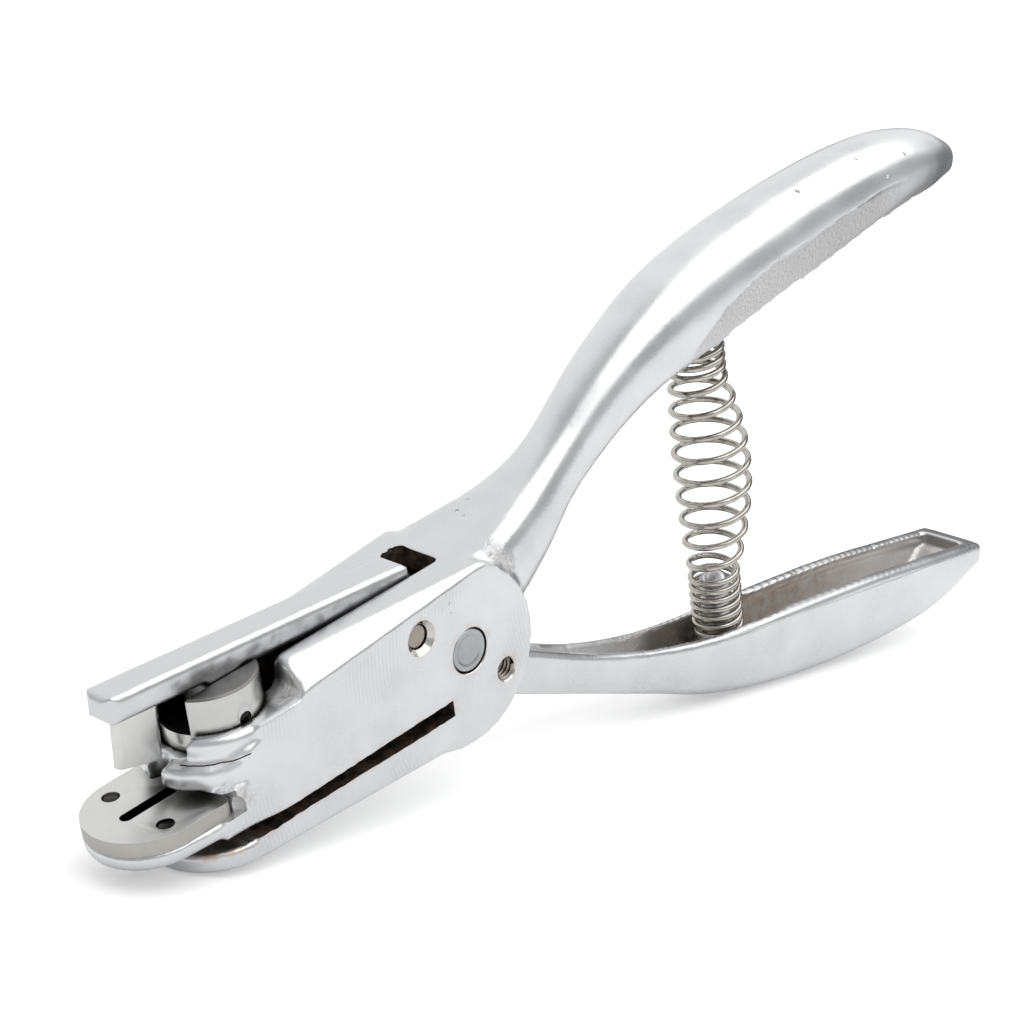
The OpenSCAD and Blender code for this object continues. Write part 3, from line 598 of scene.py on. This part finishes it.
def lower_hollow(points, start=17):
    """Share that lies inside the lower handle's channel, from a start along the tool."""
    x, y, z = points.T
    rim, wide, depth = on_line(LOWER, x)
    below = np.clip((rim - RIM_SHARE * depth - z) / (depth * (1 - RIM_SHARE)), 0, None)
    out = (np.abs(y / wide) ** 2.6 + below ** 2.6) ** (1 / 2.6)
    return ramp(out, 0.9, 0.82) * ramp(rim - z, 0.1, 0.7) * ramp(x, start, start + 8)


def near_spots(points, spots):
    """Share that lies near some spots, each a place and a reach."""
    share = np.zeros(len(points))
    for middle, reach in spots:
        gap = np.linalg.norm(points - np.array(middle), axis=1)
        share = np.maximum(share, ramp(gap, reach, reach * 0.45))
    return share


def rust_halo(points):
    """Share of the cheeks round the holes and the slit, and of the lip's top, that has a brown bloom."""
    x, y, z = points.T
    share = np.zeros(len(points))
    for middle, radius in ((RIVET, RIVET_R), (STOP, STOP_R), (TAP, TAP_R)):
        gap = np.hypot(x - middle.x, z - middle.z) - radius
        share = np.maximum(share, 0.3 * ramp(gap, 1.4, 0.2))
    off_slit = np.abs(z - SLIT_MIDDLE) - (SLIT_ROOF - SLIT_FLOOR) / 2
    slit = 0.3 * ramp(off_slit, 0.9, 0) * ramp(x, SLIT_END + 1.5, SLIT_END)
    lip = 0.7 * ramp(x, -33.5, -34.5) * ramp(np.abs(z - SLIT_FLOOR), 0.7, 0.3)
    return np.maximum(np.maximum(share, slit) * ramp(np.abs(y), HALF_W - 0.6, HALF_W - 0.1), lip)


# Raw cast skin that the polishing missed: in the neck's corner, at the step and in the throat's corner
ROUGH_SPOTS = [((x, side * y, z), reach) for side in (-1, 1)
               for x, y, z, reach in ((7, 6.3, 9, 2), (8.4, 6.9, 6.9, 1.7), (-25.4, 5.6, 7, 2.6),
                                      (-35.3, 7.4, -0.6, 2.4))]
# Shoulder that carries the far cheek's top edge straight into the neck
FAR_SHOULDER = ((-1, 7.5, 9), (-1, 7.5, 3), (-1, 3, 9.6), (8, 6.7, 9.3), (8, 6.9, 5), (15, 4.7, 10.2),
                (15, 4.9, 5), (15, 1, 10.4))
# Filler by which the tower's flanks run flush into the cheeks
TOWER_FLANK = ((-24.3, 5.4, 0.85), (-24.3, 7.8, 0.85), (-24.3, 5.4, 5.7), (-24.3, 7.8, 5.7),
               (-33.2, 7.8, 0.85), (-33.2, 7.8, 4.3), (-35.2, 6.6, 0.85), (-35.2, 6.6, 4),
               (-33, 5.4, 0.85), (-33, 5.4, 4.9))


def round_off(points, where, first, second, radius):
    """Points with the edge where two flats meet rounded, where asked. A flat is a column, the side
    it faces and its place."""
    points = points.copy()
    over = [side * (points[:, k] - place) + radius for k, side, place in (first, second)]
    reach = np.maximum(np.hypot(*over), 1e-9)
    pull = np.where(where & (over[0] > 0) & (over[1] > 0), 1 - np.minimum(radius / reach, 1), 0)
    for (k, side, _), off in zip((first, second), over):
        points[:, k] -= side * off * pull
    return points


def make_frame_body():
    """The cast frame with its edges softened, then drilled and sawn as the real one is."""
    bm = cad_copy("frame_casting")
    for side in (-1, 1):
        for middle, radius in ((RIVET, 3.2), (STOP, 2.3)):
            plug(bm, middle.x, middle.z, radius, side * 5.2 - 2.6, side * 5.2 + 2.6)
        bmesh.ops.convex_hull(bm, input=[bm.verts.new((x, side * y, z)) for x, y, z in TOWER_FLANK])
    plug(bm, TAP.x, TAP.z, 2.2, -HALF_W, -SLOT_HALF)
    block((SLIT_END - 30, -HALF_W, SLIT_FLOOR - 0.2), (SLIT_END, HALF_W, SLIT_ROOF + 0.2), bm)
    bmesh.ops.convex_hull(bm, input=[bm.verts.new(point) for point in FAR_SHOULDER])

    def crown(points):
        x, y, z = points.T
        middle, wide, tall = on_line(UPPER, x)
        return (ramp(x, 13, 22) * (0.4 + 0.6 * ramp((z - middle) / tall, -0.6, -0.3))
                * (1 - upper_hollow(points)))

    obj = soft_skin("frame_body", bm, FRAME_VOXEL, 5, crown)
    points = points_of(obj.data)
    x, y, z = points.T
    _, wide, _ = on_line(UPPER, x)
    points[:, 1] -= np.sign(y) * np.clip(np.abs(y) - 0.93 * wide, 0, None) * ground_band(points)
    move_to(obj.data, points)
    ledge = ramp(x, -33.5, -35) * ramp(z, 0.8, 1.3) * ramp(z, 3.5, 3)
    push(obj.data, 0.03 * mottle(points, 7, 2) * ramp(x, 8, 16) + 0.14 * ledge * mottle(points, 1.5, 7)
         + 0.1 * near_spots(points, ROUGH_SPOTS) * mottle(points, 0.7, 3))

    # The slot, window, crack, holes, bore and slit cut below are lined with cut steel: rust under dark
    # painted shade
    cut(obj, block((CHEEK_FRONT - 1, -SLOT_HALF - 0.05, 2),
                   (WINDOW_REAR, SLOT_HALF + 0.05, CHEEK_TOP + 4)))
    cut(obj, window_cutter())
    # The die plate's seat runs back under the ledge
    cut(obj, block((DIE_REAR - 1, -HALF_W - 1, DIE_SEAT), (DIE_REAR + 1.8, HALF_W + 1, LEDGE_LOW)),
        (casting,))
    for side in (-1, 1):
        cut(obj, corner_cutter(side), (casting, casting))
        cut(obj, tube(crack_line(obj, side), 0.08))
    cut(obj, hole_tool(RIVET, RIVET_R + 0.17, 0.08, 9))
    cut(obj, hole_tool(STOP, STOP_R + 0.1, 0.62, 9))
    cut(obj, turned([(0, -1), (TAP_R, -1), (TAP_R, 4.72), (TAP_R + 1, 5.72), (0, 5.72)],
                    across(TAP.x, TAP.z, -HALF_W + 4.9)))
    cut(obj, bore_tool())
    cut(obj, saw_blade(), (cut_rust_and_shade, raw_lip))
    cut(obj, pit_cutter(), (casting,))
    points = points_of(obj.data)
    # The base's rounded lower edge runs on along the slit
    x, y, z = points.T
    by_roof = (x < -28) & (z > SLIT_ROOF - 0.4) & (z < SLIT_ROOF + 2)
    for side in (-1, 1):
        points = round_off(points, by_roof, (1, side, side * HALF_W), (2, -1, SLIT_ROOF),
                           1.4 * ramp(x, -28, -37))
    move_to(obj.data, points)
    x, y, z = points.T
    cheek = ramp(np.abs(y), HALF_W - 0.15, HALF_W - 0.03) * ramp(x, 12, 8)
    paint(obj.data, "ground", ground_band(points))
    paint(obj.data, "rough", near_spots(points, ROUGH_SPOTS))
    paint(obj.data, "rust", rust_halo(points))
    paint(obj.data, "hollow", upper_hollow(points))
    paint(obj.data, "milled", cheek * ramp(mottle(points, 9, 5), -0.1, 0.2))
    paint(obj.data, "brushed", 0.5 * ramp(z, CHEEK_TOP - 0.3, CHEEK_TOP - 0.1) * ramp(x, 14, 8))
    throat = ramp(x, -33, -34) * ramp(z, 1, 0.6) * ramp(np.abs(y), 5, 6)
    lip = ramp(x, -32.5, -33.5) * ramp(z, -5.4, -5.9)
    # Painted shade where close steel hides the outlook, less in the throat and on the lip, and mottled
    # painted shade on the raw skin spots
    paint(obj.data, "shade_and_grime", ramp(shelter(obj.data, 4), 0.42, 0.88) * (1 - np.maximum(throat, lip))
          + 0.3 * near_spots(points, ROUGH_SPOTS) * ramp(mottle(points, 0.6, 4), 0, 0.5))
    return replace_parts(stand_up(obj, "frame"), "frame_casting")


def rounded_bar(points):
    """The lever's points with the press bar's long edges and its front end rounded."""
    lean = np.array(Matrix.Rotation(BAR_TILT, 3, "Y"))
    bar = points @ lean
    on_bar = (bar[:, 0] < -4) & (bar[:, 2] > BAR_LOW - 0.2)
    front = (0, -1, bar[on_bar, 0].min())
    top, low = (2, 1, bar[bar[:, 0] < -20, 2].max()), (2, -1, BAR_LOW)
    for side in (-1, 1):
        flank = (1, side, side * BAR_HALF)
        bar = round_off(bar, on_bar, flank, top, 0.9)
        bar = round_off(bar, on_bar, front, flank, 1.8)
    bar = round_off(bar, on_bar, front, top, 1.1)
    bar = round_off(bar, on_bar, front, low, 1.2)
    return bar @ lean.T


def rim_crease(obj, side):
    """The line under the lower handle's rim where its polished flank ends, as points on the skin."""
    x = np.linspace(47, 100, 90)
    rim, _, _ = on_line(LOWER, x)
    drop = np.interp(x, (47, 52, 66, 79, 93, 100), (0.5, 0.7, 1.2, 1.4, 1, 0.8))
    wander = 0.1 * mottle(np.stack([x, x * 0, x * 0], 1), 4, 6)
    starts = np.stack([x, x * 0 + side * 15, rim - drop + wander], 1)
    return on_skin(obj, starts, [(0, -side, 0)] * len(x))


# Rough cast skin on the channel's floor near the hub
HUB_FLOOR = (((18, 0, -13), 8), ((26, 0, -16), 9), ((34, 0, -20), 9))


def make_lever_body():
    """The cast lever with its edges softened."""
    def flanks(points):
        x, y, z = points.T
        rim, _, _ = on_line(LOWER, x)
        return (ramp(x, 18, 26) * ramp(lower_hollow(points), 0.3, 0)
                * (0.4 + 0.1 * ramp(rim - z, 1.5, 3)))

    obj = soft_skin("lever_body", cad_copy("lever_casting"), LEVER_VOXEL, 3, flanks)
    points = rounded_bar(points_of(obj.data))
    x, y, z = points.T
    rim, wide, _ = on_line(LOWER, x)
    points[:, 1] -= (0.7 * np.sign(y) * ramp(np.abs(y) - wide, -0.5, -1.4) * ramp(np.abs(y), 1, 2)
                     * ramp(rim - z, 2.5, 0.8) * ramp(x, 58, 64))
    points[:, 2] += 0.75 * lower_hollow(points, 10) * ramp(x, 44, 24) * np.clip(rim - 0.6 - z, 0, None)
    move_to(obj.data, points)
    rough = near_spots(points, HUB_FLOOR) * lower_hollow(points)
    push(obj.data, 0.02 * mottle(points, 6, 4) + 0.06 * rough * mottle(points, 0.7, 6))
    for side in (-1, 1):
        cut(obj, tube(rim_crease(obj, side), 0.1), (casting,))
    points = points_of(obj.data)
    x, y, z = points.T
    rough = near_spots(points, HUB_FLOOR) * lower_hollow(points)
    bar = ramp(x, 0, -3) * ramp(z, 5, 7)
    high = z + x * math.tan(BAR_TILT)
    # Painted shadow along the press bar's lower sides by the plunger, mottled like dirt
    shadow_and_soot = (0.62 * bar * ramp(np.abs(y), 1.9, 2.2) * ramp(x, -41, -36) * ramp(high, 10.6, 9)
            * (0.3 + 0.7 * ramp(mottle(points, 1.8, 8) + 0.5 * mottle(points, 0.7, 9), -0.3, 0.6)))
    paint(obj.data, "ground", np.zeros(len(points)))
    paint(obj.data, "rough", rough)
    paint(obj.data, "rust", 0.5 * lower_hollow(points, 40) * ramp(x, 95, 65))
    paint(obj.data, "hollow", lower_hollow(points, 32))
    paint(obj.data, "milled", np.zeros(len(points)))
    paint(obj.data, "brushed", bar)
    # Painted shade where close steel hides the outlook, or the bar's painted shadow where that is darker
    paint(obj.data, "shade_and_grime", np.maximum(shadow_and_soot, ramp(shelter(obj.data, 4), 0.5, 0.95)))
    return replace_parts(stand_up(obj, "lever"), "lever_casting")


# Small parts
def make_small_part(name, node_name, body, materials, edge, second=None, rounded=None,
                    moved=None, bore=None):
    """A machined part with its sharp edges broken. The number that second gives for a face is its
    material's, edges that rounded picks have a large round, moved shifts the points first and
    bore is a solid that is taken out at the end."""
    bm = cad_copy(node_name)
    if moved:
        for vert in bm.verts:
            vert.co = moved(vert.co)
    bmesh.ops.dissolve_limit(bm, angle_limit=math.radians(1), verts=bm.verts, edges=bm.edges)
    if rounded:
        bmesh.ops.bevel(bm, geom=[e for e in bm.edges if rounded(e)], offset=1.1, offset_type="OFFSET",
                        affect="EDGES", segments=6, profile=0.5, material=-1, clamp_overlap=True)
    for face in bm.faces:
        face.material_index = second(face) if second else 0
    sharp = [e for e in bm.edges if len(e.link_faces) == 2 and e.calc_face_angle(0) > math.radians(35)]
    bmesh.ops.bevel(bm, geom=sharp, offset=edge, offset_type="OFFSET", affect="EDGES", segments=2,
                    profile=0.5, material=-1, clamp_overlap=True)
    obj = as_object(name, bm, materials)
    if bore:
        cut(obj, bore, materials[:1])
    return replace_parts(stand_up(obj, body, 35), node_name)


def plate_finish(face):
    """1 for the die plate's outer edge, 2 for the walls of its slot and holes, which get near-black
    painted shade, and 0 for its faces.
    """
    middle = face.calc_center_median()
    if abs(face.normal.z) > 0.3:
        return 0
    return 2 if middle.x > SLOT_FRONT and abs(middle.y) < 4.5 and middle.x < DIE_REAR else 1


def is_rear_corner(edge):
    """Upright edges at the die plate's rear corners."""
    a, b = edge.verts
    upright = (a.co - b.co).xy.length < 0.01
    return upright and abs(a.co.x - DIE_REAR - DIE_TAIL) < 0.2 and abs(a.co.y) > 6


def with_tail(place):
    """The die plate's points with its rear edge run back under the ledge."""
    return place + Vector((DIE_TAIL, 0, 0)) if place.x > DIE_REAR - 0.1 else place


def plunger_finish(face):
    """1 for the faces in the slot through the plunger's head, which get painted shade, 2 for its top,
    which gets the bar's painted shadow, and 0 for the rest.
    """
    middle = face.calc_center_median()
    if abs(middle.y) < SLOT_HALF + 0.02 and middle.z > PLUNGER_FLOOR - 2.5 and abs(face.normal.x) < 0.9:
        return 1
    return 2 if face.normal.z > 0.7 else 0


def make_rivet():
    """The pivot rivet, with the shallow dish and raised rim that peening leaves in its ends."""
    low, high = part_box("pivot_rivet")
    end = (high.y - low.y) / 2 / MM
    half = [(0, end - 0.06), (0.8, end - 0.07), (1.7, end - 0.13), (1.95, end), (RIVET_R - 0.12, end),
            (RIVET_R, end - 0.12)]
    bm = turned(half + [(r, -h) for r, h in reversed(half)], across(RIVET.x, RIVET.z))
    for face in bm.faces:
        face.material_index = 0
    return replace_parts(stand_up(as_object("rivet_body", bm, (rivet_steel,)), "frame", 20),
                       "pivot_rivet")


def make_thread():
    """The thread of the tapped hole: a ridge that winds along its wall."""
    pitch, steps, turns = 0.55, 32, 8
    wall = TAP_R + 0.03
    bm = bmesh.new()
    tooth = [bm.verts.new((r, 0, h)) for r, h in ((wall, -0.45 * pitch), (wall - 0.3, -0.06 * pitch),
                                                  (wall - 0.3, 0.06 * pitch), (wall, 0.45 * pitch))]
    ring = bm.faces.new(tooth)
    bmesh.ops.spin(bm, geom=[ring], cent=(0, 0, 0), axis=(0, 0, 1), dvec=(0, 0, pitch / steps),
                   angle=2 * math.pi * turns, steps=steps * turns, use_merge=False)
    bmesh.ops.recalc_face_normals(bm, faces=bm.faces)
    bm.transform(across(TAP.x, TAP.z, -SLOT_HALF - 0.4))
    return stand_up(as_object("tapped_thread", bm, (pin_steel,)), "frame", 20)


# Return spring: the same winding as the solid one, in round wire
SPRING_BEHIND, SPRING_LOW, SPRING_HIGH = 51.4, -28.9366, 25.0404
WIRE_D, CLOSE_PITCH = 0.85, 1.3
COILS_LOW, COILS_MID, COILS_HIGH = 10, 9, 10
R_LOW, R_MID, R_HIGH, BOW = 3.05, 4.7, 3.4, 1.4


def coil_point(turns):
    """Point of the wire's middle line after a number of turns."""
    close = CLOSE_PITCH * (COILS_LOW + COILS_HIGH)
    pitch = (SPRING_HIGH - SPRING_LOW - close) / COILS_MID
    opened = min(max(turns - COILS_LOW, 0), COILS_MID)
    z = SPRING_LOW + (turns - opened) * CLOSE_PITCH + opened * pitch
    bulge = math.sin(math.pi * opened / COILS_MID)
    radius = R_LOW + (R_HIGH - R_LOW) * opened / COILS_MID + (R_MID - (R_LOW + R_HIGH) / 2) * bulge
    angle = 2 * math.pi * turns
    return Vector((SPRING_BEHIND + BOW * bulge + radius * math.cos(angle), radius * math.sin(angle), z))


def make_spring():
    """The wound wire, in the solid spring's place."""
    turns = COILS_LOW + COILS_MID + COILS_HIGH
    steps = 40
    wire = tube([coil_point(k / steps) for k in range(turns * steps + 1)], WIRE_D / 2)
    obj = as_object("spring_wire", wire, (wire_finish,))
    obj.data.transform(STAND)
    obj.data.shade_smooth()
    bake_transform(obj)
    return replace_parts(obj, "return_spring")


make_frame_body()
make_lever_body()
make_small_part("die_face", "die_plate", "frame", (die_steel, die_edge, slot_painted_shade), 0.1,
                plate_finish, is_rear_corner, with_tail, bore_tool())
make_small_part("plunger_body", "guide_plunger", "plunger",
                (plunger_steel, slot_painted_shade, plunger_top_shadow), 0.1, plunger_finish)
make_small_part("punch_blade", "slot_blade", "lever", (blade_steel,), 0.05)
make_rivet()
make_small_part("stop_body", "stop_pin", "frame", (pin_steel,), 0.04)
make_small_part("near_die_pin", "die_pin_near", "frame", (dark_pin,), 0.12)
make_small_part("far_die_pin", "die_pin_far", "frame", (dark_pin,), 0.12)
make_small_part("cross_pin_body", "plunger_cross_pin", "plunger", (dark_pin,), 0.1)
make_thread()
make_spring()


# Stage: pale floor, white surround, one soft lamp, a dark card and the camera
def plain_tree(thing):
    """An empty node tree for a stage material or the world, and its light path."""
    thing.use_nodes = True
    tree = thing.node_tree
    tree.nodes.clear()
    return tree, tree.nodes.new("ShaderNodeLightPath").outputs


bpy.ops.mesh.primitive_plane_add(size=6)
floor = bpy.context.object
floor.name = "floor"
paper = bpy.data.materials.new("white_paper")
tree, path = plain_tree(paper)
seen = node(tree, "ShaderNodeMath", {0: path["Is Camera Ray"], 1: path["Is Glossy Ray"]},
            operation="MAXIMUM")
seen = node(tree, "ShaderNodeMath", {0: seen, 1: path["Is Transmission Ray"]}, operation="MAXIMUM")
matte = node(tree, "ShaderNodeBsdfDiffuse", {"Color": linear("#F4F4F4")})
glow = node(tree, "ShaderNodeMath", {0: seen, 1: 0.09}, operation="MULTIPLY")
glow = node(tree, "ShaderNodeMath", {0: path["Is Camera Ray"], 1: 0.2, 2: glow}, operation="MULTIPLY_ADD")
glow = node(tree, "ShaderNodeEmission", {"Color": (1, 1, 1, 1), "Strength": glow})
lit = node(tree, "ShaderNodeAddShader", {0: matte, 1: glow})
node(tree, "ShaderNodeOutputMaterial", {"Surface": lit})
floor.data.materials.append(paper)

world = bpy.data.worlds.new("studio")
bpy.context.scene.world = world
tree, path = plain_tree(world)
# The room is dim, with a pale sweep behind the tool, which draws the metal's shape
way = node(tree, "ShaderNodeVectorMath", {0: node(tree, "ShaderNodeTexCoord", out="Generated"),
                                          1: Vector((0.35, 0.75, 0.55)).normalized()}, "Value",
           operation="DOT_PRODUCT")
level = node(tree, "ShaderNodeMapRange", {"Value": way, "From Min": 0.35, "From Max": 0.8,
                                          "To Min": 0.55, "To Max": 1.05},
             interpolation_type="SMOOTHSTEP")
room = node(tree, "ShaderNodeBackground", {"Color": (1, 1, 1, 1), "Strength": level})
white = node(tree, "ShaderNodeBackground", {"Color": (1, 1, 1, 1), "Strength": 1})
mixed = node(tree, "ShaderNodeMixShader", {0: path["Is Camera Ray"], 1: room, 2: white})
node(tree, "ShaderNodeOutputWorld", {"Surface": mixed})

middle = sum((Vector(c) for c in cad_box), Vector()) / 2


def softbox(name, toward, distance, wide, high, power):
    """An oblong lamp, set off from the tool in a direction and facing it."""
    lamp = bpy.data.lights.new(name, "AREA")
    lamp.shape, lamp.size, lamp.size_y, lamp.energy = "RECTANGLE", wide, high, power
    obj = bpy.data.objects.new(name, lamp)
    away = Vector(toward).normalized()
    obj.location = middle + away * distance
    obj.rotation_euler = (-away).to_track_quat("-Z", "Y").to_euler()
    bpy.context.scene.collection.objects.link(obj)


softbox("key", (0.19, -0.46, 0.866), 0.8, 1.4, 0.9, 5.2)

# A dark card past the handles' ends, which only the metal's reflections show
bpy.ops.mesh.primitive_plane_add(size=1)
card = bpy.context.object
card.name = "dark_card"
card.scale = (0.2, 0.1, 1)
card.location = (0.16, 0.04, 0.045)
card.rotation_euler = (math.pi / 2, 0, math.pi / 2)
black = bpy.data.materials.new("dark_felt")
tree, _ = plain_tree(black)
node(tree, "ShaderNodeOutputMaterial", {"Surface": node(tree, "ShaderNodeEmission", {"Strength": 0.2})})
card.data.materials.append(black)
card.visible_camera = card.visible_diffuse = card.visible_shadow = False

bpy.context.scene.view_settings.view_transform = "Standard"
lens = bpy.data.cameras.new("camera")
lens.sensor_width, lens.lens = 36, 94.92
lens.clip_start, lens.clip_end = 0.01, 20
camera = bpy.data.objects.new("camera", lens)
around, above, roll = math.radians(43.88), math.radians(26.92), math.radians(-7.04)
back = Vector((-math.sin(around) * math.cos(above), -math.cos(around) * math.cos(above), math.sin(above)))
right = Vector((math.cos(around), -math.sin(around), 0))
up = back.cross(right)
axes = Matrix((math.cos(roll) * right + math.sin(roll) * up,
               math.cos(roll) * up - math.sin(roll) * right, back)).transposed()
eye = Vector((-179.73, -204.26, 152.02))
camera.matrix_world = (Matrix.Translation(STAND @ eye)
                       @ (Matrix.Rotation(-TILT, 3, "Y") @ axes).to_4x4())
bpy.context.scene.collection.objects.link(camera)
bpy.context.scene.camera = camera
